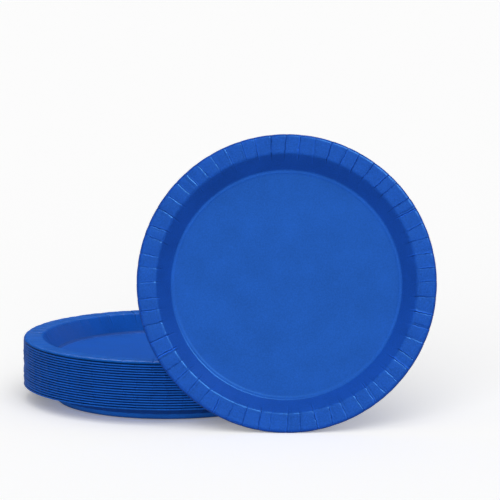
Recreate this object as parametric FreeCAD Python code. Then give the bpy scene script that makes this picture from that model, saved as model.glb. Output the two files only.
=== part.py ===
"""A pack of pressed paper plates: nineteen nested in a stack, one leaning on it.

Lengths are in millimetres. The origin is the centre of the lowest plate's
underside, +Z is up, and the leaning plate shows its food side towards -Y.
"""
import FreeCAD, Part
import math
import os

# One plate
plate_diameter = 229.0       # across the lip's outer edge
shoulder_diameter = 199.2    # where the rim's line meets the wall's line
base_diameter = 176.8        # where the wall's line meets the flat base
plate_depth = 14.6           # from the underside of the base to the lip's crown
board_thickness = 0.45
base_corner_radius = 5.0     # food side of the corner between base and wall
shoulder_radius = 3.0        # food side of the corner between wall and rim
rim_slope = 1.5              # degrees, rising outwards
lip_radius = 2.4             # food side of the turned-down lip
lip_wrap = 76.0              # degrees that the lip turns down

# Pleats, where the board is gathered round the wall and the rim
pleat_count = 60
pleat_thickness = 1.2        # three layers of board, pressed together
pleat_width = 3.2            # at the plate's outer edge
pleat_taper = 4.0            # length along the wall over which a pleat fades out
bar_width = 2.4              # of the pleats' bars inside the pack
bar_margin = 0.5             # from a bar's ends to the wall's ends
crease_width = 0.7
crease_depth = 0.2
crease_run_down = 6.0        # how far a crease runs down the wall from the shoulder

# The pack
stack_count = 19
nest_clearance = 0.05        # between a plate's pleats and the wall below them
turn_per_plate = 37.0        # degrees by which each plate is turned on the last
lean_angle = 15.5            # degrees from upright
lean_offset = 91.9           # leaning plate's centre, to the right of the stack's
lean_clearance = 0.15        # between the leaning plate's back and the top lip

TOLERANCE = 0.001
SEATING_STEPS = 12           # steps in which the leaning plate slides back to its seat
AXIS = FreeCAD.Vector(0, 0, 1)
CENTRE = FreeCAD.Vector(0, 0, 0)

outer_radius = plate_diameter / 2
shoulder_reach = shoulder_diameter / 2
base_reach = base_diameter / 2
rim_angle = math.radians(rim_slope)
lip_angle = math.radians(lip_wrap)


def polar(centre, radius, angle):
    """Point of the XZ plane at a radius and an angle, from +X, about a centre."""
    return FreeCAD.Vector(centre.x + radius * math.cos(angle), 0, centre.z + radius * math.sin(angle))


# The lip's centre sets where the rim ends, and the rim's line where the wall ends.
lip_centre = FreeCAD.Vector(outer_radius - lip_radius * math.sin(lip_angle - rim_angle), 0,
                            plate_depth - lip_radius)
rim_end = polar(lip_centre, lip_radius, math.pi / 2 + rim_angle)
shoulder_height = rim_end.z - (rim_end.x - shoulder_reach) * math.tan(rim_angle)
wall_angle = math.atan2(shoulder_height - board_thickness, shoulder_reach - base_reach)

corner_tangent = base_corner_radius * math.tan(wall_angle / 2)
corner_centre = FreeCAD.Vector(base_reach - corner_tangent, 0, board_thickness + base_corner_radius)

shoulder_tangent = shoulder_radius * math.tan((wall_angle - rim_angle) / 2)
rim_start = FreeCAD.Vector(shoulder_reach + shoulder_tangent * math.cos(rim_angle), 0,
                           shoulder_height + shoulder_tangent * math.sin(rim_angle))
shoulder_centre = polar(rim_start, shoulder_radius, rim_angle - math.pi / 2)

pleat_step = 360 / pleat_count
# Nested plates are held apart by their pleats, wall on wall.
nest_pitch = (pleat_thickness + nest_clearance) / math.cos(wall_angle)


def corner_point(depth, share):
    """Point of the base corner's arc, at a share of its turn, below the food side."""
    return polar(corner_centre, base_corner_radius + depth, share * wall_angle - math.pi / 2)


def shoulder_point(depth, share):
    """Point of the shoulder's arc, at a share of its turn from wall to rim."""
    turn = wall_angle + share * (rim_angle - wall_angle)
    return polar(shoulder_centre, shoulder_radius - depth, turn + math.pi / 2)


def lip_point(depth, share):
    """Point of the lip's arc, at a share of its turn from the rim to its edge."""
    return polar(lip_centre, lip_radius - depth, math.pi / 2 + rim_angle - share * lip_angle)


def wall_point(depth, length):
    """Point of the wall, a length up from the base corner's end."""
    foot = corner_point(depth, 1)
    return foot + FreeCAD.Vector(math.cos(wall_angle), 0, math.sin(wall_angle)) * length


wall_length = (shoulder_point(0, 0) - corner_point(0, 1)).Length


def line(start, end):
    """Straight edge between two points."""
    return Part.LineSegment(start, end).toShape()


def arc(point, depth):
    """Arc edge through one of the profile's three turns, at a depth below the food side."""
    return Part.Arc(point(depth, 0), point(depth, 0.5), point(depth, 1)).toShape()


def face(edges):
    """Flat face inside a loop of edges."""
    return Part.Face(Part.Wire(Part.__sortEdges__(edges)))


def upper_run(depth, start):
    """Edges from a point on the wall over the shoulder and along the rim."""
    return [line(start, shoulder_point(depth, 0)), arc(shoulder_point, depth),
            line(shoulder_point(depth, 1), lip_point(depth, 0))]


def board_edges():
    """Edges of the board's two sides, from the base corner to the lip's edge."""
    edges = [line(lip_point(0, 1), lip_point(board_thickness, 1))]
    for depth in (0, board_thickness):
        edges.append(arc(corner_point, depth))
        edges += upper_run(depth, corner_point(depth, 1)) + [arc(lip_point, depth)]
    return edges


def rim_section():
    """Section of the board outside the flat base."""
    return face(board_edges() + [line(corner_point(0, 0), corner_point(board_thickness, 0))])


def board_section():
    """Half section of the whole board, from the plate's axis to the lip's edge."""
    middle = FreeCAD.Vector(0, 0, board_thickness)
    flats = [line(CENTRE, middle), line(middle, corner_point(0, 0)),
             line(CENTRE, corner_point(board_thickness, 0))]
    return face(board_edges() + flats)


def pleat_section():
    """Section of a pleat's folded layers under the wall and the rim."""
    inside = board_thickness / 2
    foot = wall_point(inside, 0)
    full = wall_point(pleat_thickness, pleat_taper)
    edges = upper_run(inside, foot) + upper_run(pleat_thickness, full)
    edges.append(line(foot, full))
    edges.append(line(lip_point(inside, 0), lip_point(pleat_thickness, 0)))
    return face(edges)


def crease_section():
    """Section of the crease that a pleat leaves on the food side."""
    above = -board_thickness
    start = wall_length - crease_run_down
    edges = []
    for depth in (above, crease_depth):
        edges += upper_run(depth, wall_point(depth, start)) + [arc(lip_point, depth)]
    edges.append(line(wall_point(above, start), wall_point(crease_depth, start)))
    edges.append(line(lip_point(above, 1), lip_point(crease_depth, 1)))
    return face(edges)


def turned(point, angle):
    """Point turned about the plate's axis by an angle in degrees."""
    return FreeCAD.Rotation(AXIS, angle).multVec(point)


def ring(section, angle=360.0):
    """A section swept about the plate's axis, centred on the XZ plane."""
    return section.rotated(CENTRE, AXIS, -angle / 2).revolve(CENTRE, AXIS, angle)


def width_angle(width):
    """Angle in degrees that a width takes at the plate's outer edge."""
    return math.degrees(width / outer_radius)


def is_skin(side):
    """Whether a sector's face is the plate's own skin, and not a cut through its board."""
    at_base = all(abs(math.hypot(v.X, v.Y) - corner_centre.x) < TOLERANCE for v in side.Vertexes)
    turns = [math.degrees(math.atan2(v.Y, v.X)) for v in side.Vertexes]
    at_side = any(all(abs(turn - end) < TOLERANCE for turn in turns)
                  for end in (-pleat_step / 2, pleat_step / 2))
    return not at_base and not at_side


def base_disc(depth):
    """Flat face of the base, whose edge is one arc for each pleat's sector."""
    start = corner_point(depth, 0)
    ends = [turned(start, (index - 0.5) * pleat_step) for index in range(pleat_count + 1)]
    middles = [turned(start, index * pleat_step) for index in range(pleat_count)]
    edges = [Part.Arc(ends[index], middles[index], ends[index + 1]).toShape()
             for index in range(pleat_count)]
    return Part.Face(Part.Wire(edges))


def pleated_plate():
    """A plate that is open to view: pleats beneath its wall and rim, creases on top."""
    piece = ring(rim_section(), pleat_step)
    piece = piece.fuse(ring(pleat_section(), width_angle(pleat_width)))
    piece = piece.cut(ring(crease_section(), width_angle(crease_width)))
    skin = [side for side in piece.Faces if is_skin(side)]
    faces = [base_disc(0), base_disc(board_thickness)]
    for index in range(pleat_count):
        faces += [side.rotated(CENTRE, AXIS, index * pleat_step) for side in skin]
    shell = Part.makeShell(faces)
    shell.sewShape()
    return Part.makeSolid(shell)


def pleat_bar():
    """One pleat of a plate inside the pack: the straight bar that seats on the wall below."""
    inside = board_thickness / 2
    top = wall_length - bar_margin
    corners = [wall_point(inside, bar_margin), wall_point(pleat_thickness, pleat_taper),
               wall_point(pleat_thickness, top), wall_point(inside, top)]
    side = Part.Face(Part.makePolygon(corners + corners[:1]))
    side.translate(FreeCAD.Vector(0, -bar_width / 2, 0))
    return side.extrude(FreeCAD.Vector(0, bar_width, 0))


def nested_plate():
    """A plate inside the pack: only its lip shows, so its pleats stop at the wall."""
    bar = pleat_bar()
    bars = [bar.rotated(CENTRE, AXIS, index * pleat_step) for index in range(pleat_count)]
    return ring(board_section()).fuse(bars).Solids[0]


def nested_place(index):
    """Place of a stacked plate, counted from 0 at the bottom."""
    height = FreeCAD.Vector(0, 0, index * nest_pitch)
    return FreeCAD.Placement(height, FreeCAD.Rotation(AXIS, index * turn_per_plate))


def leaning_place():
    """Place of the leaning plate: its lip on the floor, its back against the top lip."""
    lean = math.radians(lean_angle)
    turn = min(lip_angle, math.pi / 2 + rim_angle + lean)
    foot = polar(lip_centre, lip_radius, math.pi / 2 + rim_angle - turn)
    height = foot.x * math.cos(lean) - foot.z * math.sin(lean)
    tilt = FreeCAD.Rotation(FreeCAD.Vector(1, 0, 0), 90 - lean_angle)
    place = FreeCAD.Placement(FreeCAD.Vector(lean_offset, -plate_diameter, height), tilt)
    back = Part.makeCompound([ring(board_section()), ring(pleat_section())])
    top_height = nested_place(stack_count - 1).Base
    lip_circle = Part.Circle(top_height + AXIS * lip_centre.z, AXIS, lip_centre.x).toShape()
    for _ in range(SEATING_STEPS):
        back.Placement = place
        gap = back.distToShape(lip_circle)[0] - lip_radius
        place.Base.y += gap - lean_clearance
    return place


def place_copy(shape, place):
    """Copy of a shape at a place."""
    copy = shape.copy()
    copy.Placement = place
    return copy


def main():
    """Write one STEP file for each plate."""
    os.makedirs("parts", exist_ok=True)
    pleated = pleated_plate()
    nested = nested_plate()
    plates = {}
    for index in range(stack_count - 1):
        plates[f"plate_{index + 1:02d}"] = place_copy(nested, nested_place(index))
    plates[f"plate_{stack_count:02d}"] = place_copy(pleated, nested_place(stack_count - 1))
    plates["leaning_plate"] = place_copy(pleated, leaning_place())
    for name, plate in plates.items():
        plate.exportStep(f"parts/{name}.step")


main()
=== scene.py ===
"""Looks of a pack of pressed paper plates: nineteen nested in a stack, one leaning on it.

Lengths are in metres and angles in radians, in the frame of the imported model.
"""

import logging
import math
import random
from dataclasses import dataclass
from enum import Enum
from typing import Optional, Union

import bpy
from mathutils import Matrix, Vector


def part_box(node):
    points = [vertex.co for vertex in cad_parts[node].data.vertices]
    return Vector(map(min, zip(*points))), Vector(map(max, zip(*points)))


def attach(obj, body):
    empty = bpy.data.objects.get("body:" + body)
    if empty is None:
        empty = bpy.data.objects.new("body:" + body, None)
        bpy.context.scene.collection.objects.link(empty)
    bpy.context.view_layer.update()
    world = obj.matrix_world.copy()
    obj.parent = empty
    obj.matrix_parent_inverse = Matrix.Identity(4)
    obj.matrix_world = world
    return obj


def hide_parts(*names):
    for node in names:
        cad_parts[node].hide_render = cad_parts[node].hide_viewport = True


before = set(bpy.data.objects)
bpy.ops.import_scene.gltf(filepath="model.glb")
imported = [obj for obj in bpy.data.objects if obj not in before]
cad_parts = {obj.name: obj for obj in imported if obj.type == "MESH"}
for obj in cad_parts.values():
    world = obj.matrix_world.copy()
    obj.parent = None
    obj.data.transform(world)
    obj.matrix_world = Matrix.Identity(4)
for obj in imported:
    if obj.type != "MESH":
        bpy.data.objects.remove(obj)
LOG = logging.getLogger("plates")
MM = 0.001
BODY = "root"
STACK_NODES = sorted(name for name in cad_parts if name.startswith("plate_"))
LEANING_NODE = "leaning_plate"
LIP_TAIL = 0.02 * MM        # straight end of the lip past its arc
COLUMN_CLUSTER = 0.72       # how strongly columns of faces crowd towards a crease
MERGE_DISTANCE = 0.002 * MM
BASE_MARGIN = 6.0 * MM      # width at the base's edge that has the rim's close rows
WALL_REACH = -0.9           # the wall's foot, in widths of the rim from the shoulder
PLEAT_START = 0.15          # share of the wall's length below which the folds haven't set in

Number = Union["Value", float, int]
Colour = tuple[float, float, float]


class Value:
    """An output inside a node tree, which arithmetic extends with Math nodes."""

    def __init__(self, graph: "Graph", socket: bpy.types.NodeSocket) -> None:
        """Keep the graph that the socket belongs to."""
        self.graph = graph
        self.socket = socket

    def __add__(self, other: Number) -> "Value":
        """Sum of two numbers."""
        return self.graph.math("ADD", self, other)

    def __sub__(self, other: Number) -> "Value":
        """Difference of two numbers."""
        return self.graph.math("SUBTRACT", self, other)

    def __rsub__(self, other: Number) -> "Value":
        """Difference of a plain number and this one."""
        return self.graph.math("SUBTRACT", other, self)

    def __mul__(self, other: Number) -> "Value":
        """Product of two numbers."""
        return self.graph.math("MULTIPLY", self, other)

    def __truediv__(self, other: Number) -> "Value":
        """Quotient of two numbers."""
        return self.graph.math("DIVIDE", self, other)


class Graph:
    """A node tree under construction, of geometry or of a shader."""

    def __init__(self, tree: bpy.types.NodeTree) -> None:
        """Keep the tree that nodes are added to."""
        self.tree = tree

    @classmethod
    def group(cls, name: str, kind: str) -> "Graph":
        """Start a new node group.

        Args:
            name: The group's name.
            kind: GeometryNodeTree or ShaderNodeTree.

        Returns:
            A graph of the empty group.
        """
        return cls(bpy.data.node_groups.new(name, kind))

    def socket(self, name: str, kind: str, way: str = "INPUT") -> bpy.types.NodeTreeInterfaceSocket:
        """Give the group a named input or output."""
        return self.tree.interface.new_socket(name, in_out=way, socket_type=f"NodeSocket{kind}")

    def add(self, kind: str, inputs: Optional[dict] = None, **settings: object) -> bpy.types.Node:
        """Add a node.

        Args:
            kind: The node's type.
            inputs: Value, socket or plain value for each input, by its name or index.
            settings: The node's own properties.

        Returns:
            The new node.
        """
        node = self.tree.nodes.new(kind)
        for name, value in settings.items():
            setattr(node, name, value)
        for key, value in (inputs or {}).items():
            self.feed(node, key, value)
        return node

    @staticmethod
    def number_of(sockets: bpy.types.bpy_prop_collection, name: str) -> int:
        """Number of the socket in use that has a name."""
        return next(i for i, each in enumerate(sockets) if each.name == name and each.enabled)

    def feed(self, node: bpy.types.Node, key: Union[str, int], value: object) -> None:
        """Link or set one input of a node, by its name or index."""
        if isinstance(key, str):
            key = self.number_of(node.inputs, key)
        target = node.inputs[key]
        if isinstance(value, Value):
            value = value.socket
        if isinstance(value, bpy.types.NodeSocket):
            self.tree.links.new(value, target)
        else:
            target.default_value = value

    def out(self, node: bpy.types.Node, key: Union[str, int] = 0) -> Value:
        """One output of a node, by its name or index."""
        if isinstance(key, str):
            key = self.number_of(node.outputs, key)
        return Value(self, node.outputs[key])

    def math(self, operation: str, first: Number, second: Number = 0.0) -> Value:
        """Result of one Math node."""
        node = self.add("ShaderNodeMath", {0: first}, operation=operation)
        self.feed(node, 1, second)
        return self.out(node)

    def point(self, x: Number, y: Number, z: Number) -> Value:
        """A vector of three numbers."""
        return self.out(self.add("ShaderNodeCombineXYZ", {0: x, 1: y, 2: z}))

    def ramp(self, value: Number, start: Number, end: Number) -> Value:
        """Smooth step from 0 at the start to 1 at the end."""
        node = self.add("ShaderNodeMapRange", {0: value, 1: start, 2: end},
                        interpolation_type="SMOOTHSTEP")
        return self.out(node)

    def noise(self, vector: Value, scale: float, detail: float = 2.0) -> Value:
        """Noise about zero, from -0.5 to 0.5, at a vector."""
        node = self.add("ShaderNodeTexNoise", {"Vector": vector, "Scale": scale, "Detail": detail})
        return self.out(node, 0) - 0.5


class Seat(Enum):
    """Where a plate is, which sets how much of it is modelled finely."""

    LEANING = "leaning"
    TOP = "top"
    NESTED = "nested"


@dataclass(frozen=True)
class Mesh:
    """How many rows and columns of faces a plate has."""

    columns_per_pleat: int
    base_rows: int
    rim_rows: int
    back_base_rows: int
    back_rim_rows: int


MESHES = {
    Seat.LEANING: Mesh(columns_per_pleat=20, base_rows=6, rim_rows=52,
                       back_base_rows=2, back_rim_rows=18),
    Seat.TOP: Mesh(columns_per_pleat=14, base_rows=5, rim_rows=36,
                   back_base_rows=1, back_rim_rows=8),
    Seat.NESTED: Mesh(columns_per_pleat=12, base_rows=1, rim_rows=14,
                      back_base_rows=1, back_rim_rows=3),
}


@dataclass(frozen=True)
class PlateShape:
    """The section of one plate, from the frame and its own measures."""

    radius: float
    depth: float
    shoulder_radius: float = 99.6 * MM
    base_radius: float = 88.4 * MM
    thickness: float = 0.45 * MM
    base_fillet: float = 2.2 * MM
    shoulder_fillet: float = 2.4 * MM
    lip_fillet: float = 2.4 * MM
    rim_slope: float = math.radians(1.5)
    lip_wrap: float = math.radians(76.0)

    @property
    def lip_centre(self) -> Vector:
        """Centre of the lip's arc, in the section's plane."""
        reach = self.radius - self.lip_fillet * math.sin(self.lip_wrap - self.rim_slope)
        return Vector((reach, 0, self.depth - self.lip_fillet))

    def lip_point(self, turn: float) -> Vector:
        """Point of the lip's outer face, after a turn down from the rim."""
        angle = math.pi / 2 + self.rim_slope - turn
        return self.lip_centre + self.lip_fillet * Vector((math.cos(angle), 0, math.sin(angle)))

    def corners(self) -> list[Vector]:
        """Corners of the food side's section before they are rounded, from the axis outwards."""
        rim_end = self.lip_point(0)
        along_rim = Vector((math.cos(self.rim_slope), 0, math.sin(self.rim_slope)))
        shoulder = rim_end - along_rim * (rim_end.x - self.shoulder_radius) / along_rim.x
        lip_corner = rim_end + along_rim * self.lip_fillet * math.tan(self.lip_wrap / 2)
        lip_end = self.lip_point(self.lip_wrap)
        lip_end += (lip_end - lip_corner).normalized() * LIP_TAIL
        return [Vector((0, 0, self.thickness)), Vector((self.base_radius, 0, self.thickness)),
                shoulder, lip_corner, lip_end]

    def fillets(self) -> list[float]:
        """Radius at each of the corners."""
        return [0.0, self.base_fillet, self.shoulder_fillet, self.lip_fillet, 0.0]


@dataclass(frozen=True)
class Pleating:
    """How a plate's rim is gathered, and what else pressing leaves on the board."""

    count: int = 60
    jitter: float = math.radians(0.9)      # of a crease's place
    slant: float = math.radians(0.8)       # from the shoulder to the lip
    wander: float = math.radians(0.8)      # along a crease
    groove_depth: float = 0.30 * MM
    groove_width: float = 0.34 * MM
    ridge_height: float = 0.20 * MM        # of the edge beside a groove
    ridge_gap: float = 0.75 * MM
    twin_gap: float = 1.5 * MM             # from a crease to its second fold
    bulge: float = 0.19 * MM               # of the panel between two creases
    step: float = 0.34 * MM                # between a panel's two edges
    fold_depth: float = 0.7 * MM           # of the gathered layers on the back
    fold_width: float = 1.6 * MM
    crinkle: float = 0.20 * MM
    wrinkle: float = 0.50 * MM
    knot_height: float = 0.26 * MM         # where a crease crosses the shoulder
    bead_height: float = 0.40 * MM         # of the raised line round the base
    bead_width: float = 0.75 * MM
    bead_inset: float = 1.5 * MM
    ripple: float = 0.16 * MM              # of the whole sheet


PLEATINGS = {
    Seat.LEANING: Pleating(),
    Seat.TOP: Pleating(bulge=0.20 * MM, step=0.36 * MM, knot_height=0.0, wrinkle=0.2 * MM),
    Seat.NESTED: Pleating(groove_depth=0.16 * MM, ridge_height=0.06 * MM, bulge=0.10 * MM,
                          step=0.14 * MM, ripple=0.24 * MM),
}
PLEAT_SOCKETS = {
    "Pleats": ("Int", "count"), "Jitter": ("Float", "jitter"), "Slant": ("Float", "slant"),
    "Wander": ("Float", "wander"), "Groove Depth": ("Float", "groove_depth"),
    "Groove Width": ("Float", "groove_width"), "Ridge Height": ("Float", "ridge_height"),
    "Ridge Gap": ("Float", "ridge_gap"), "Twin Gap": ("Float", "twin_gap"),
    "Bulge": ("Float", "bulge"), "Step": ("Float", "step"),
    "Fold Width": ("Float", "fold_width"), "Crinkle": ("Float", "crinkle"),
    "Wrinkle": ("Float", "wrinkle"), "Knot Height": ("Float", "knot_height"),
    "Bead Height": ("Float", "bead_height"), "Bead Width": ("Float", "bead_width"),
    "Ripple": ("Float", "ripple"),
}
RUN_SOCKETS = ("Base Length", "Bead Start", "Pleat Start", "Shoulder Length")
CREASE_SOCKETS = ("Index", "Reach", "Jitter", "Slant", "Wander", "Seed", "Pleats")
CORNER_NAMES = ("Centre", "Base Corner", "Shoulder Corner", "Lip Corner", "Lip Edge")
FILLET_POINTS = 12


class Draw(Enum):
    """A crease's random numbers, each with its own seed."""

    JITTER = 1
    SLANT = 2
    STRENGTH = 3
    TWIN = 4
    TILT = 5
    START = 6
    SPACING = 7
    EDGE = 8


DRAW_RANGES = {
    Draw.JITTER: (-1.0, 1.0), Draw.SLANT: (-1.0, 1.0), Draw.STRENGTH: (0.35, 1.15),
    Draw.TWIN: (-1.0, 1.0), Draw.TILT: (-1.0, 1.0), Draw.START: (-0.7, 0.25),
    Draw.SPACING: (0.6, 2.0), Draw.EDGE: (-0.5, 1.4),
}


class CreaseGroup:
    """Group that gives one crease its angle and its random character."""

    PLATE_STEP = 97.0      # sets one plate's creases apart from another's
    TRACK_SCALE = 4.0      # how fast a crease wanders along its reach
    TRACK_STEP = 7.31      # how far apart two creases' tracks lie in the noise
    TRACK_LAYER = 0.5
    FADE_SCALE = 6.0       # how fast a crease's strength changes along its reach
    FADE_STEP = 3.7
    FADE_LAYER = 2.5
    FADE_SHARE = 1.6
    FADE_BASE = 0.85
    START_BEFORE = 0.25    # reach before and after its start over which a crease sets in
    START_AFTER = 0.1

    def __init__(self) -> None:
        """Build the group."""
        g = Graph.group("crease", "GeometryNodeTree")
        for name in CREASE_SOCKETS:
            g.socket(name, "Float")
        for name in ("Angle", "Strength", "Edge", "Twin", "Spacing", "Tilt"):
            g.socket(name, "Float", "OUTPUT")
        given = g.add("NodeGroupInput")
        index, reach, jitter, slant, wander, seed, pleats = [g.out(given, name)
                                                             for name in CREASE_SOCKETS]
        ident = g.math("FLOORED_MODULO", index, pleats) + seed * self.PLATE_STEP

        def chance(draw: Draw) -> Value:
            """Random number of this crease."""
            low, high = DRAW_RANGES[draw]
            inputs = {"Min": low, "Max": high, "Seed": draw.value}
            node = g.add("FunctionNodeRandomValue", inputs, data_type="FLOAT")
            g.feed(node, "ID", ident)
            return g.out(node, "Value")

        angle = index * math.tau / pleats
        outer = g.math("MAXIMUM", reach, WALL_REACH)
        angle = angle + jitter * chance(Draw.JITTER) + slant * chance(Draw.SLANT) * outer
        track = g.point(outer * self.TRACK_SCALE, ident * self.TRACK_STEP, self.TRACK_LAYER)
        angle = angle + wander * g.noise(track, 1.0, 2.0) * g.ramp(reach, WALL_REACH, 0.0)
        start = chance(Draw.START)
        set_in = g.ramp(reach, start - self.START_BEFORE, start + self.START_AFTER)
        track = g.point(outer * self.FADE_SCALE, ident * self.FADE_STEP, self.FADE_LAYER)
        fading = g.noise(track, 1.0, 1.0) * self.FADE_SHARE + self.FADE_BASE
        strength = chance(Draw.STRENGTH) * set_in * fading
        result = g.add("NodeGroupOutput")
        g.feed(result, "Angle", angle)
        g.feed(result, "Strength", strength)
        g.feed(result, "Edge", strength * g.math("MAXIMUM", chance(Draw.EDGE), 0.0))
        g.feed(result, "Twin", strength * g.math("MAXIMUM", chance(Draw.TWIN), 0.0))
        g.feed(result, "Spacing", chance(Draw.SPACING))
        g.feed(result, "Tilt", chance(Draw.TILT))
        self.tree = g.tree


@dataclass(frozen=True)
class Spot:
    """Values at a point of the board, between the creases on its left and right."""

    run: Value             # length along the section from the axis
    reach: Value           # 0 at the shoulder and 1 at the lip's edge
    left: dict[str, Value]
    right: dict[str, Value]
    spread: Value          # share of the way from the left crease to the right one
    near_left: Value
    near_right: Value
    radius: Value
    height: Value
    rise: Value            # of the section, for a unit of its length
    going: Value
    cosine: Value
    sine: Value
    around: Value          # place that the rim's noise follows


class SideGroup:
    """Group that makes one side of the board from the food side's section."""

    PLACE_STRETCH = 0.2    # change of the noise's place from the shoulder to the lip
    PLACE_STEP = 3.0       # change of the noise's place from plate to plate
    CRINKLE_SCALE = 34.0
    WRINKLE_SCALE = 95.0
    WRINKLE_STRETCH = 0.04
    WRINKLE_NEARNESS = 0.16    # share of a distance, so that wrinkles reach past the groove
    WRINKLE_SHARE = 2.0
    PATCH_SCALE = 9.0
    PATCH_EDGES = (-0.05, 0.12)
    DENT_NEARNESS = 0.4
    DENT_REACH, DENT_WIDTH = -0.04, 0.08
    KNOT_NEARNESS = 0.45
    KNOT_GAP = 1.4         # from a crease to its knot, in gaps to its ridge
    KNOT_REACH, KNOT_WIDTH = 0.05, 0.06
    LIP_EDGES = (0.85, 1.0)
    LIP_CALM = 0.5         # share of the relief that is lost at the lip's edge
    RIPPLE_SCALE = 26.0
    RIPPLE_STEP = 0.37
    FOLD_EDGES = (0.8, 1.2)    # of a fold's side, in fold widths
    BEAD_WEAR_AND_HIGHLIGHT = 0.25       # painted highlight and worn coating on the bead, as a share of a ridge's

    def __init__(self, crease: CreaseGroup) -> None:
        """Build the group.

        Args:
            crease: The group of one crease.
        """
        g = Graph.group("board side", "GeometryNodeTree")
        g.socket("Section", "Geometry")
        for name in ("Columns", "Base Rows", "Rim Rows"):
            g.socket(name, "Int")
        for name in ("Depth", "Fold Depth", "Seed") + RUN_SOCKETS:
            g.socket(name, "Float")
        for name, (kind, _) in PLEAT_SOCKETS.items():
            g.socket(name, kind)
        g.socket("Geometry", "Geometry", "OUTPUT")
        given = g.add("NodeGroupInput")
        self.graph = g
        self.tree = g.tree
        self.take = {each.name: Value(g, each) for each in given.outputs if each.name}

        columns = self.take["Pleats"] * self.take["Columns"]
        rows = self.take["Base Rows"] + self.take["Rim Rows"]
        sizes = {"Size X": 1.0, "Size Y": 1.0, "Vertices X": columns + 1, "Vertices Y": rows + 1}
        grid = g.add("GeometryNodeMeshGrid", sizes)
        place = g.add("ShaderNodeSeparateXYZ", {0: g.out(g.add("GeometryNodeInputPosition"))})
        column = g.math("ROUND", (g.out(place, 0) + 0.5) * columns)
        row = g.math("ROUND", (g.out(place, 1) + 0.5) * rows)
        inside = g.math("LESS_THAN", row, rows - 0.5)
        moved = self._shape(g.out(grid, "Mesh"), self._spot(column, row, crease), inside)
        g.add("NodeGroupOutput", {"Geometry": moved})

    def _spot(self, column: Value, row: Value, crease: CreaseGroup) -> Spot:
        """Values at a point of the grid.

        Args:
            column: The point's column, counted round the plate.
            row: The point's row, counted from the axis.
            crease: The group of one crease.

        Returns:
            What the board's shape at the point follows.
        """
        g, take = self.graph, self.take
        cell = g.math("FLOOR", (column + 0.5) / take["Columns"])
        share = column / take["Columns"] - cell
        total = g.out(g.add("GeometryNodeCurveLength", {0: take["Section"]}))
        inner = g.math("MINIMUM", row / take["Base Rows"], 1.0)
        outer = g.math("MAXIMUM", row - take["Base Rows"], 0.0) / take["Rim Rows"]
        run = take["Base Length"] * inner + (total - take["Base Length"]) * outer
        reach = (run - take["Shoulder Length"]) / (total - take["Shoulder Length"])

        creases = []
        for index in (cell, cell + 1.0):
            own = {"Index": index, "Reach": reach}
            node = g.add("GeometryNodeGroup", node_tree=crease.tree)
            for name in CREASE_SOCKETS:
                g.feed(node, name, own[name] if name in own else take[name])
            creases.append({each.name: Value(g, each) for each in node.outputs})
        left, right = creases
        spread = share - g.math("SINE", share * math.tau) * (COLUMN_CLUSTER / math.tau)
        angle = left["Angle"] + (right["Angle"] - left["Angle"]) * spread

        sample = g.add("GeometryNodeSampleCurve", {"Curves": take["Section"]}, mode="LENGTH")
        g.feed(sample, "Length", run)
        point = g.add("ShaderNodeSeparateXYZ", {0: g.out(sample, "Position")})
        tangent = g.add("ShaderNodeSeparateXYZ", {0: g.out(sample, "Tangent")})
        radius = g.out(point, 0)
        cosine, sine = g.math("COSINE", angle), g.math("SINE", angle)
        along = reach * self.PLACE_STRETCH + take["Seed"] * self.PLACE_STEP
        return Spot(run=run, reach=reach, left=left, right=right, spread=spread,
                    near_left=(angle - left["Angle"]) * radius,
                    near_right=(right["Angle"] - angle) * radius,
                    radius=radius, height=g.out(point, 2),
                    rise=g.out(tangent, 2), going=g.out(tangent, 0),
                    cosine=cosine, sine=sine, around=g.point(cosine, sine, along))

    def _bell(self, distance: Value, width: Optional[Number] = None) -> Value:
        """Rounded bump, 1 at no distance, that is a third as high at its width."""
        ratio = distance / (self.take["Groove Width"] if width is None else width)
        return self.graph.math("EXPONENT", self.graph.math("MULTIPLY", ratio * ratio, -1.0))

    def _groove(self, spot: Spot) -> Value:
        """How deep the point lies in a crease or in its second fold."""
        groove = (spot.left["Strength"] * self._bell(spot.near_left)
                  + spot.right["Strength"] * self._bell(spot.near_right))
        gap = self.take["Twin Gap"] * spot.left["Spacing"]
        return groove + spot.left["Twin"] * self._bell(spot.near_left - gap)

    def _ridge(self, spot: Spot) -> Value:
        """How high the point lies on the edge beside a crease."""
        gap = self.take["Ridge Gap"]
        return (spot.left["Edge"] * self._bell(spot.near_left - gap)
                + spot.right["Twin"] * self._bell(spot.near_right - gap))

    def _wrinkles(self, spot: Spot) -> Value:
        """Fine wrinkles, in patches beside the creases."""
        g, take = self.graph, self.take
        near = (self._bell(spot.near_left * self.WRINKLE_NEARNESS)
                + self._bell(spot.near_right * self.WRINKLE_NEARNESS))
        along = spot.reach * self.WRINKLE_STRETCH + take["Seed"]
        fine = g.noise(g.point(spot.cosine, spot.sine, along), self.WRINKLE_SCALE, 2.0)
        patch = g.ramp(g.noise(spot.around, self.PATCH_SCALE, 1.0), *self.PATCH_EDGES)
        return take["Wrinkle"] * fine * near * patch * self.WRINKLE_SHARE

    def _knot(self, spot: Spot) -> Value:
        """Knot above the shoulder and dent below it, where a crease crosses it."""
        dent = (spot.left["Strength"] * self._bell(spot.near_left * self.DENT_NEARNESS)
                + spot.right["Strength"] * self._bell(spot.near_right * self.DENT_NEARNESS))
        beside = spot.near_left - self.take["Ridge Gap"] * self.KNOT_GAP
        knot = spot.left["Edge"] * self._bell(beside * self.KNOT_NEARNESS)
        return (knot * self._bell(spot.reach - self.KNOT_REACH, self.KNOT_WIDTH)
                - dent * self._bell(spot.reach - self.DENT_REACH, self.DENT_WIDTH))

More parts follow.
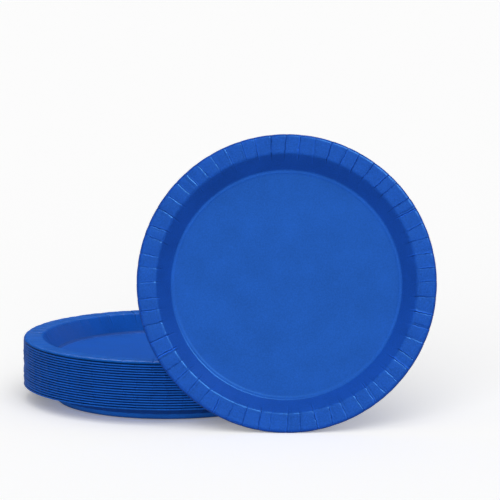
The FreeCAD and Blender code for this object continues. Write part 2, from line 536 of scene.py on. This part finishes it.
    def _relief(self, spot: Spot, groove: Value, ridge: Value) -> Value:
        """Height of the gathered board above its even section.

        Args:
            spot: The point's values.
            groove: How deep the point lies in a crease.
            ridge: How high it lies on a crease's edge.

        Returns:
            The height.
        """
        g, take = self.graph, self.take
        crown = g.math("SINE", spot.spread * math.pi)
        relief = take["Bulge"] * crown - take["Groove Depth"] * groove
        relief = relief + take["Step"] * spot.left["Tilt"] * (spot.spread - 0.5)
        relief = relief + take["Ridge Height"] * ridge
        relief = relief + take["Crinkle"] * g.noise(spot.around, self.CRINKLE_SCALE, 3.0)
        relief = relief + self._wrinkles(spot)
        relief = relief + take["Knot Height"] * self._knot(spot)
        return relief * (1.0 - g.ramp(spot.reach, *self.LIP_EDGES) * self.LIP_CALM)

    def _layers(self, spot: Spot) -> Value:
        """Thickness of the gathered layers on both sides of the creases."""
        g, take = self.graph, self.take
        inner, outer = [take["Fold Width"] * share for share in self.FOLD_EDGES]
        left, right = [1.0 - g.ramp(distance, inner, outer)
                       for distance in (spot.near_left, spot.near_right)]
        gathered = g.ramp(spot.run, take["Pleat Start"], take["Shoulder Length"])
        return take["Fold Depth"] * gathered * (left + right)

    def _shape(self, mesh: Value, spot: Spot, inside: Value) -> Value:
        """Store the looks' values on the grid and put its points in place.

        Args:
            mesh: The flat grid.
            spot: The values at its points.
            inside: 1 for each point but those on the lip's edge, where the two sides meet.

        Returns:
            The shaped side of the board.
        """
        g, take = self.graph, self.take
        groove, ridge = self._groove(spot), self._ridge(spot)
        creased = g.ramp(spot.reach, WALL_REACH, 0.0)
        flat = g.point(spot.radius * spot.cosine, spot.radius * spot.sine,
                       take["Seed"] * self.RIPPLE_STEP)
        ripple = take["Ripple"] * g.noise(flat, self.RIPPLE_SCALE, 1.0)
        bead = self._bell(spot.run - take["Bead Start"], take["Bead Width"])
        offset = self._relief(spot, groove, ridge) * creased + ripple + take["Bead Height"] * bead
        offset = offset - (take["Depth"] + self._layers(spot)) * inside
        wide = spot.radius - spot.rise * offset
        tall = spot.height + spot.going * offset
        # the ridges and the bead are lightened in the grain: painted highlight with worn coating
        light = ridge * creased + bead * self.BEAD_WEAR_AND_HIGHLIGHT
        back = g.math("GREATER_THAN", take["Depth"], 0.0)
        # the stored crease is darkened in the grain as painted shade
        for name, kind, domain, value in (("place", "FLOAT_VECTOR", "POINT", spot.around),
                                          ("crease", "FLOAT", "POINT", groove * creased),
                                          ("ridge", "FLOAT", "POINT", light),
                                          ("run", "FLOAT", "POINT", spot.reach),
                                          ("back", "FLOAT", "FACE", back)):
            stored = g.add("GeometryNodeStoreNamedAttribute", {"Geometry": mesh, "Name": name},
                           data_type=kind, domain=domain)
            g.feed(stored, "Value", value)
            mesh = g.out(stored)
        moved = g.add("GeometryNodeSetPosition", {"Geometry": mesh})
        g.feed(moved, "Position", g.point(wide * spot.cosine, wide * spot.sine, tall))
        return g.out(moved)


class PlateTree:
    """The geometry tree that turns a section into a pleated plate."""

    def __init__(self) -> None:
        """Build the tree once, for every plate."""
        self.side = SideGroup(CreaseGroup())
        self.tree = self._plate_tree()

    def _section(self, g: Graph, given: bpy.types.Node) -> Value:
        """The food side's section as a curve with rounded corners."""
        line = g.add("GeometryNodeMeshLine", {"Count": len(CORNER_NAMES)})
        index = g.out(g.add("GeometryNodeInputIndex"))
        places = g.add("GeometryNodeIndexSwitch", data_type="VECTOR")
        radii = g.add("GeometryNodeIndexSwitch", data_type="FLOAT")
        for node, suffix in ((places, ""), (radii, " Fillet")):
            while len(node.index_switch_items) < len(CORNER_NAMES):
                node.index_switch_items.new()
            g.feed(node, 0, index)
            for number, name in enumerate(CORNER_NAMES):
                g.feed(node, number + 1, g.out(given, name + suffix))
        moved = g.add("GeometryNodeSetPosition", {"Geometry": g.out(line)})
        g.feed(moved, "Position", g.out(places))
        curve = g.add("GeometryNodeMeshToCurve", {"Mesh": g.out(moved)})
        rounded = g.add("GeometryNodeFilletCurve", {"Curve": g.out(curve), "Count": FILLET_POINTS},
                        mode="POLY")
        g.feed(rounded, "Radius", g.out(radii))
        return g.out(rounded)

    def _plate_tree(self) -> bpy.types.NodeTree:
        """The whole tree: section, two sides, one closed board."""
        g = Graph.group("pleated plate", "GeometryNodeTree")
        g.socket("Geometry", "Geometry")
        for name in CORNER_NAMES:
            g.socket(name, "Vector")
        for name in CORNER_NAMES:
            g.socket(name + " Fillet", "Float")
        for name in ("Columns", "Base Rows", "Rim Rows", "Back Base Rows", "Back Rim Rows"):
            g.socket(name, "Int")
        for name in ("Thickness", "Fold Depth", "Seed") + RUN_SOCKETS:
            g.socket(name, "Float")
        for name, (kind, _) in PLEAT_SOCKETS.items():
            g.socket(name, kind)
        for name in ("Face", "Back"):
            g.socket(name, "Material")
        g.socket("Geometry", "Geometry", "OUTPUT")
        given = g.add("NodeGroupInput")
        section = self._section(g, given)

        sides = []
        for prefix, depth, folds in (("", 0.0, 0.0), ("Back ", "Thickness", "Fold Depth")):
            node = g.add("GeometryNodeGroup", node_tree=self.side.tree)
            g.feed(node, "Section", section)
            g.feed(node, "Columns", g.out(given, "Columns"))
            for name in ("Base Rows", "Rim Rows"):
                g.feed(node, name, g.out(given, prefix + name))
            for name, source in (("Depth", depth), ("Fold Depth", folds)):
                g.feed(node, name, g.out(given, source) if source else 0.0)
            for name in ("Seed",) + RUN_SOCKETS + tuple(PLEAT_SOCKETS):
                g.feed(node, name, g.out(given, name))
            sides.append(g.out(node))
        flipped = g.add("GeometryNodeFlipFaces", {"Mesh": sides[0]})
        joined = g.add("GeometryNodeJoinGeometry")
        g.feed(joined, 0, sides[1])
        g.feed(joined, 0, g.out(flipped))
        merged = g.add("GeometryNodeMergeByDistance",
                       {"Geometry": g.out(joined), "Distance": MERGE_DISTANCE})
        smooth = g.add("GeometryNodeSetShadeSmooth", {"Geometry": g.out(merged)})
        real = g.add("GeometryNodeRealizeInstances", {"Geometry": g.out(smooth)})
        faced = g.add("GeometryNodeSetMaterial", {"Geometry": g.out(real),
                                                  "Material": g.out(given, "Face")})
        is_back = g.add("GeometryNodeInputNamedAttribute", {"Name": "back"}, data_type="FLOAT")
        backed = g.add("GeometryNodeSetMaterial", {"Geometry": g.out(faced),
                                                   "Material": g.out(given, "Back")})
        g.feed(backed, "Selection", g.out(is_back, "Attribute") - 0.5)
        g.add("NodeGroupOutput", {"Geometry": g.out(backed)})
        return g.tree

    def make(self, name: str, settings: dict[str, object]) -> bpy.types.Object:
        """Make one plate's plain mesh.

        Args:
            name: The new object's name.
            settings: Value of each of the tree's inputs, by its name.

        Returns:
            The object, at the origin, with its modifier already applied.
        """
        source = bpy.data.objects.new(name, bpy.data.meshes.new(name))
        bpy.context.scene.collection.objects.link(source)
        modifier = source.modifiers.new("plate", "NODES")
        modifier.node_group = self.tree
        for item in self.tree.interface.items_tree:
            if item.item_type == "SOCKET" and item.in_out == "INPUT" and item.name in settings:
                modifier[item.identifier] = settings[item.name]
        bpy.context.view_layer.update()
        depsgraph = bpy.context.evaluated_depsgraph_get()
        mesh = bpy.data.meshes.new_from_object(source.evaluated_get(depsgraph))
        source.modifiers.remove(modifier)
        source.data = mesh
        mesh.name = name
        return source


def colour(red: int, green: int, blue: int) -> Colour:
    """Linear colour of an 8-bit screen colour."""
    def linear(level: int) -> float:
        """One channel's linear value."""
        share = level / 255
        return share / 12.92 if share <= 0.04045 else ((share + 0.055) / 1.055) ** 2.4
    return linear(red), linear(green), linear(blue)


class BoardGrain:
    """Shader group of pressed board: mottled ink, fibres, painted shade in creases and under lips,
    painted highlight and wear on ridges.
    """

    INPUTS = ("Ink", "Mottle", "Painted Crease Shade", "Painted Gap Shade", "Roughness", "Fibre Height",
              "Rim Cooling")
    CLOUD_SCALE = 45.0
    FIBRE_SCALE = 900.0
    STREAK_SCALE = 70.0    # of the streaks across the rim
    PAINTED_GAP_SHADE_SCALE = 7.0       # of the painted shade's unevenness between lips
    STREAK_EDGES = (-0.5, 0.1)
    COOL_EDGES = (-0.1, 0.1)
    # reaches where the painted shade under the next lip sets in, and where it fades out at the
    # crown
    PAINTED_GAP_SHADE_EDGES = (0.5, 0.75)
    CROWN_EDGES = (0.87, 0.96)
    # painted highlight and worn coating on a crease's ridge
    RIDGE_WEAR_AND_HIGHLIGHT = 1.2
    CLOUD_SHARE = 1.2
    FIBRE_SHARE = 1.7
    STREAK_SHARE = 1.8
    PAINTED_GAP_SHADE_NOISE = 0.5
    CLOUD_ROUGHNESS = 0.04
    STREAK_ROUGHNESS = 0.08
    FIBRE_HEIGHT = 0.5
    STREAK_HEIGHT = 2.5

    def __init__(self) -> None:
        """Build the group once, for both sides of the board."""
        g = Graph.group("board grain", "ShaderNodeTree")
        for name in self.INPUTS:
            g.socket(name, "Color" if name == "Ink" else "Float")
        for name, kind in (("Colour", "Color"), ("Roughness", "Float"), ("Height", "Float")):
            g.socket(name, kind, "OUTPUT")
        given = g.add("NodeGroupInput")
        ink, mottle, crease_painted_shade, gap, rough, height, cooling = [g.out(given, name)
                                                           for name in self.INPUTS]
        place = g.out(g.add("ShaderNodeTexCoord"), "Object")
        around = g.out(g.add("ShaderNodeAttribute", attribute_name="place"), "Vector")
        # crease carries the groove that the tone darkens as painted shade; ridge carries the ridges
        # and bead that it lightens as painted highlight and wear
        crease, ridge, reach = [g.out(g.add("ShaderNodeAttribute", attribute_name=name), "Fac")
                                for name in ("crease", "ridge", "run")]
        cloud = g.noise(place, self.CLOUD_SCALE, 4.0)
        fibre = g.noise(place, self.FIBRE_SCALE, 3.0)
        streak = g.noise(around, self.STREAK_SCALE, 4.0) * g.ramp(reach, *self.STREAK_EDGES)
        # painted shade in the creases, and painted highlight with worn coating on their ridges and
        # the bead
        tone = 1.0 - crease * crease_painted_shade + ridge * crease_painted_shade * self.RIDGE_WEAR_AND_HIGHLIGHT
        tone = tone + mottle * (cloud * self.CLOUD_SHARE + fibre * self.FIBRE_SHARE)
        tone = tone + (mottle * self.STREAK_SHARE) * streak
        # painted shade on the lip below its crown, under the next plate's lip, made uneven by noise
        tone = tone + gap * self.PAINTED_GAP_SHADE_NOISE * g.noise(around, self.PAINTED_GAP_SHADE_SCALE, 2.0)
        between = g.ramp(reach, *self.PAINTED_GAP_SHADE_EDGES) * (1.0 - g.ramp(reach, *self.CROWN_EDGES))
        tone = tone * (1.0 - gap * between)
        cooler = tone * (1.0 - g.ramp(reach, *self.COOL_EDGES) * cooling)
        scaled = g.add("ShaderNodeVectorMath", {0: ink, 1: g.point(cooler, cooler, tone)},
                       operation="MULTIPLY")
        relief = height * (fibre * self.FIBRE_HEIGHT + cloud)
        result = g.add("NodeGroupOutput")
        g.feed(result, "Colour", g.out(scaled))
        g.feed(result, "Roughness",
               rough + cloud * self.CLOUD_ROUGHNESS + streak * self.STREAK_ROUGHNESS)
        g.feed(result, "Height", relief + (height * self.STREAK_HEIGHT) * streak)
        self.tree = g.tree


@dataclass(frozen=True)
class BoardFinish:
    """Finish of one side of the board: its ink, its unevenness and its gloss."""

    name: str
    ink: Colour
    mottle: float
    # how much the creases are darkened: painted shade
    painted_crease_shade: float
    painted_gap_shade: float           # painted shade on the lip below its crown, under the next plate's lip
    roughness: float
    fibre_height: float
    specular: float
    rim_cooling: float = 0.11      # share of red and green that the rim's ink has less
    tint: Colour = (0.12, 0.48, 1.0)

    def build(self, grain: BoardGrain) -> bpy.types.Material:
        """Make the material.

        Args:
            grain: The shared group of the board's grain.

        Returns:
            The finished material.
        """
        material = bpy.data.materials.new(self.name)
        material.use_nodes = True
        g = Graph(material.node_tree)
        shader = material.node_tree.nodes["Principled BSDF"]
        group = g.add("ShaderNodeGroup", node_tree=grain.tree)
        for name, value in (("Ink", (*self.ink, 1.0)), ("Mottle", self.mottle),
                            ("Painted Crease Shade", self.painted_crease_shade), ("Painted Gap Shade", self.painted_gap_shade),
                            ("Roughness", self.roughness), ("Fibre Height", self.fibre_height),
                            ("Rim Cooling", self.rim_cooling)):
            g.feed(group, name, value)
        bump = g.add("ShaderNodeBump", {"Strength": 1.0, "Distance": 1.0})
        g.feed(bump, "Height", g.out(group, "Height"))
        g.feed(shader, "Base Color", g.out(group, "Colour"))
        g.feed(shader, "Roughness", g.out(group, "Roughness"))
        g.feed(shader, "Normal", g.out(bump))
        g.feed(shader, "Specular IOR Level", self.specular)
        g.feed(shader, "Specular Tint", (*self.tint, 1.0))
        return material


# The top and nested faces copy the leaning plate's coated face with their inks shifted for how
# light falls on them, as painted light: the nested ink is brighter so that the lips look lit, and
# the top ink has less red against its grazing gloss.
FACE_FINISHES = {
    Seat.LEANING: BoardFinish(
        "coated_face", ink=colour(28, 82, 180), mottle=0.32, painted_crease_shade=0.50, painted_gap_shade=0.0,
        roughness=0.34, fibre_height=0.018 * MM, specular=0.5),
    Seat.TOP: BoardFinish(
        "top_face_painted_light", ink=colour(15, 87, 188), mottle=0.26, painted_crease_shade=0.40, painted_gap_shade=0.0,
        roughness=0.40, fibre_height=0.018 * MM, specular=0.3, rim_cooling=-0.10),
    Seat.NESTED: BoardFinish(
        "nested_face_painted_light", ink=colour(30, 99, 194), mottle=0.20, painted_crease_shade=0.22, painted_gap_shade=0.90,
        roughness=0.40, fibre_height=0.02 * MM, specular=0.3),
}
BACK_FINISH = BoardFinish(
    "plain_back", ink=colour(24, 76, 164), mottle=0.12, painted_crease_shade=0.35, painted_gap_shade=0.0,
    roughness=0.60, fibre_height=0.03 * MM, specular=0.25)


@dataclass(frozen=True)
class Plate:
    """One plate of the pack, in place of its node."""

    node: str
    seat: Seat
    place: Matrix          # from its own axis and underside to the frame
    seed: int              # that its random folds follow

    def settings(self, shape: PlateShape, looks: dict[Seat, bpy.types.Material],
                 back: bpy.types.Material) -> dict[str, object]:
        """The tree's inputs for this plate.

        Args:
            shape: The plate's section.
            looks: Material of the food side, for each seat.
            back: Material of the underside.

        Returns:
            Value of each input, by its name.
        """
        mesh = MESHES[self.seat]
        pleating = PLEATINGS[self.seat]
        corners = shape.corners()
        wall = (corners[2] - corners[1]).length
        inputs: dict[str, object] = {
            "Columns": mesh.columns_per_pleat, "Base Rows": mesh.base_rows,
            "Rim Rows": mesh.rim_rows, "Back Base Rows": mesh.back_base_rows,
            "Back Rim Rows": mesh.back_rim_rows, "Thickness": shape.thickness,
            "Fold Depth": pleating.fold_depth, "Seed": float(self.seed),
            "Base Length": shape.base_radius - BASE_MARGIN,
            "Bead Start": shape.base_radius - pleating.bead_inset,
            "Pleat Start": shape.base_radius + PLEAT_START * wall,
            "Shoulder Length": shape.base_radius + wall,
            "Face": looks[self.seat], "Back": back,
        }
        for name, corner, fillet in zip(CORNER_NAMES, corners, shape.fillets()):
            inputs[name] = corner
            inputs[name + " Fillet"] = fillet
        for name, (_, field_name) in PLEAT_SOCKETS.items():
            inputs[name] = getattr(pleating, field_name)
        return inputs

    def build(self, tree: PlateTree, inputs: dict[str, object]) -> bpy.types.Object:
        """Make the plate, put it in its place and let it ride with the pack.

        Args:
            tree: The geometry tree of a plate.
            inputs: Value of each of the tree's inputs, by its name.

        Returns:
            The finished piece.
        """
        piece = tree.make(f"{self.node}_board", inputs)
        piece.data.transform(self.place)
        piece.data.update()
        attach(piece, BODY)
        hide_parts(self.node)
        LOG.info("%s: %d faces", piece.name, len(piece.data.polygons))
        return piece


@dataclass
class Pack:
    """The whole pack: the stack and the plate that leans on it."""

    tree: PlateTree
    looks: dict[Seat, bpy.types.Material]
    back: bpy.types.Material
    shift: float = 0.25 * MM       # most that a plate lies off the stack's axis, each way
    lean: float = math.radians(15.5)
    seed: int = 11

    def shape(self) -> PlateShape:
        """The section, as wide and deep as the lowest plate's node."""
        low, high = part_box(STACK_NODES[0])
        return PlateShape(radius=(high.x - low.x) / 2, depth=high.z - low.z)

    def stacked(self, node: str, chance: random.Random) -> Matrix:
        """Place of a stacked plate, a hair off the stack's axis.

        Args:
            node: The plate's node.
            chance: Source of random numbers.

        Returns:
            The plate's place in the frame.
        """
        low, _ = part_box(node)
        aside = Vector((chance.uniform(-1, 1), chance.uniform(-1, 1), 0)) * self.shift
        return Matrix.Translation(aside + Vector((0, 0, low.z)))

    def leaning(self, shape: PlateShape) -> Matrix:
        """Place of the leaning plate, from its node's box and the section.

        Args:
            shape: The plate's section.

        Returns:
            The plate's place in the frame.
        """
        low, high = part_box(LEANING_NODE)
        cosine, sine = math.cos(self.lean), math.sin(self.lean)
        foot = shape.lip_point(shape.lip_wrap)
        centre = shape.lip_centre
        front = centre.x * sine + centre.z * cosine + shape.lip_fillet
        height = foot.x * cosine - foot.z * sine
        base = Vector(((low.x + high.x) / 2, low.y + front, low.z + height))
        return Matrix.Translation(base) @ Matrix.Rotation(math.pi / 2 - self.lean, 4, "X")

    def build(self) -> list[bpy.types.Object]:
        """Make every plate of the pack.

        Returns:
            The plates, from the lowest up, with the leaning one last.
        """
        shape = self.shape()
        chance = random.Random(self.seed)
        plates = []
        for number, node in enumerate(STACK_NODES):
            seat = Seat.TOP if node == STACK_NODES[-1] else Seat.NESTED
            plates.append(Plate(node, seat, self.stacked(node, chance), number + 1))
        plates.append(Plate(LEANING_NODE, Seat.LEANING, self.leaning(shape), len(plates) + 1))
        return [plate.build(self.tree, plate.settings(shape, self.looks, self.back))
                for plate in plates]


class Subject(Enum):
    """What a lamp lights."""

    NESTED = "nested"
    TOP = "top"
    LEANING = "leaning"
    FLOOR = "floor"


@dataclass(frozen=True)
class Lamp:
    """One broad, distant lamp, with angles in degrees."""

    name: str
    azimuth: float         # to the right of the camera
    elevation: float
    spread: float
    level: float           # brightness of a white surface that faces the lamp
    glint: bool            # whether it is only mirrored, or only lights
    subjects: tuple[Subject, ...]

    def build(self, objects: dict[Subject, list[bpy.types.Object]]) -> None:
        """Hang the lamp.

        Args:
            objects: The objects of each subject.
        """
        lit = bpy.data.collections.new(f"lit by {self.name}")
        for subject in self.subjects:
            for each in objects[subject]:
                lit.objects.link(each)
        data = bpy.data.lights.new(self.name, "SUN")
        data.angle = math.radians(self.spread)
        data.energy = math.pi * self.level
        lamp = bpy.data.objects.new(self.name, data)
        turn, rise = math.radians(self.azimuth), math.radians(self.elevation)
        flat = math.cos(rise)
        aim = Vector((math.sin(turn) * flat, -math.cos(turn) * flat, math.sin(rise)))
        lamp.rotation_euler = aim.to_track_quat("Z", "Y").to_euler()
        lamp.visible_glossy = self.glint
        lamp.visible_diffuse = not self.glint
        lamp.light_linking.receiver_collection = lit
        bpy.context.scene.collection.objects.link(lamp)


STACK = (Subject.NESTED, Subject.TOP)
EVERYTHING = STACK + (Subject.LEANING, Subject.FLOOR)
LAMPS = (
    Lamp("front", -4.0, 24.0, 50.0, 0.52, False, (Subject.LEANING, Subject.FLOOR)),
    Lamp("above", 12.0, 60.0, 50.0, 0.24, False, EVERYTHING),
    Lamp("back", 165.0, 28.0, 60.0, 0.66, False, (Subject.LEANING,)),
    Lamp("low", -22.0, 4.0, 24.0, 0.82, False, (Subject.NESTED,)),
    Lamp("well", -22.0, 4.0, 24.0, 0.42, False, (Subject.TOP,)),
    Lamp("top", -155.0, 50.0, 50.0, 0.66, False, STACK),
    Lamp("behind", 125.0, 10.0, 60.0, 0.40, False, STACK),
    Lamp("side glint", 22.0, 56.0, 8.0, 0.42, True, (Subject.LEANING,)),
    Lamp("edge glint", 42.0, 46.0, 8.0, 0.90, True, (Subject.LEANING,)),
    Lamp("top glint", -165.0, 58.0, 10.0, 0.30, True, STACK),
)


@dataclass
class Studio:
    """White floor, soft light and the photograph's camera."""

    camera_place: Vector = Vector((0.0639, -3.5, 0.6988))
    camera_pitch: float = math.radians(9.42)
    focal_pixels: float = 4514.0
    picture_pixels: float = 500.0
    sensor_width: float = 36.0
    floor_size: float = 30.0
    floor_drop: float = 0.0001
    floor_white: float = 0.99      # the floor's own paleness to the camera
    floor_bounce: float = 0.42     # and to the light that it throws back
    floor_roughness: float = 0.9
    floor_glow: float = 0.17       # emission that only the camera sees
    glow_beyond_painted_shadow: float = 0.11        # and what comes to it away from the plates, leaving a painted contact shadow near them
    painted_shadow_reach: float = 0.03
    backdrop: float = 0.975
    ambient: float = 0.28
    reflected: float = 0.02
    far_clip: float = 100.0

    def camera(self) -> None:
        """Set the camera at the photograph's angle."""
        data = bpy.data.cameras.new("camera")
        data.sensor_width = self.sensor_width
        data.lens = self.focal_pixels / self.picture_pixels * self.sensor_width
        data.clip_end = self.far_clip
        camera = bpy.data.objects.new("camera", data)
        camera.location = self.camera_place
        camera.rotation_euler = (math.pi / 2 - self.camera_pitch, 0.0, 0.0)
        bpy.context.scene.collection.objects.link(camera)
        bpy.context.scene.camera = camera

    def floor(self) -> bpy.types.Object:
        """Lay a pale floor, which the camera sees as white as the backdrop, with a painted contact
        shadow near the plates.
        """
        half = self.floor_size / 2
        mesh = bpy.data.meshes.new("floor")
        corners = [(x, y, -self.floor_drop)
                   for x, y in ((-half, -half), (half, -half), (half, half), (-half, half))]
        mesh.from_pydata(corners, [], [(0, 1, 2, 3)])
        floor = bpy.data.objects.new("floor", mesh)
        bpy.context.scene.collection.objects.link(floor)
        material = bpy.data.materials.new("floor_white")
        material.use_nodes = True
        g = Graph(material.node_tree)
        shader = material.node_tree.nodes["Principled BSDF"]
        seen = g.out(g.add("ShaderNodeLightPath"), "Is Camera Ray")
        pale = seen * (self.floor_white - self.floor_bounce) + self.floor_bounce
        g.feed(shader, "Base Color", g.point(pale, pale, pale))
        g.feed(shader, "Roughness", self.floor_roughness)
        g.feed(shader, "Specular IOR Level", 0.0)
        g.feed(shader, "Emission Color", (1.0, 1.0, 1.0, 1.0))
        # the camera-only glow is dimmed by occlusion near the plates: a painted contact shadow
        painted_contact_shadow = g.add("ShaderNodeAmbientOcclusion", {"Distance": self.painted_shadow_reach})
        glow = g.out(painted_contact_shadow, "AO") * self.glow_beyond_painted_shadow + self.floor_glow
        g.feed(shader, "Emission Strength", seen * glow)
        mesh.materials.append(material)
        return floor

    def world(self) -> None:
        """Hang a backdrop that is white to the camera, dim to surfaces and dark to gloss."""
        world = bpy.data.worlds.new("studio")
        bpy.context.scene.world = world
        world.use_nodes = True
        g = Graph(world.node_tree)
        world.node_tree.nodes.clear()
        path = g.add("ShaderNodeLightPath")
        seen, glossy = g.out(path, "Is Camera Ray"), g.out(path, "Is Glossy Ray")
        strength = seen * (self.backdrop - self.ambient) + self.ambient
        strength = strength - glossy * (self.ambient - self.reflected)
        light = g.add("ShaderNodeBackground", {0: (1.0, 1.0, 1.0, 1.0), 1: strength})
        g.add("ShaderNodeOutputWorld", {0: g.out(light)})

    def build(self, plates: list[bpy.types.Object]) -> None:
        """Set up the whole studio.

        Args:
            plates: The pack's plates, with the leaning one last.
        """
        bpy.context.scene.view_settings.view_transform = "Standard"
        self.camera()
        self.world()
        objects = {Subject.NESTED: plates[:-2], Subject.TOP: plates[-2:-1],
                   Subject.LEANING: plates[-1:], Subject.FLOOR: [self.floor()]}
        for lamp in LAMPS:
            lamp.build(objects)


def main() -> None:
    """Build the pack and its studio."""
    logging.basicConfig(level=logging.INFO, format="%(message)s")
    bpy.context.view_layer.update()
    grain = BoardGrain()
    looks = {seat: finish.build(grain) for seat, finish in FACE_FINISHES.items()}
    plates = Pack(PlateTree(), looks, BACK_FINISH.build(grain)).build()
    Studio().build(plates)


if __name__ == "__main__":
    main()
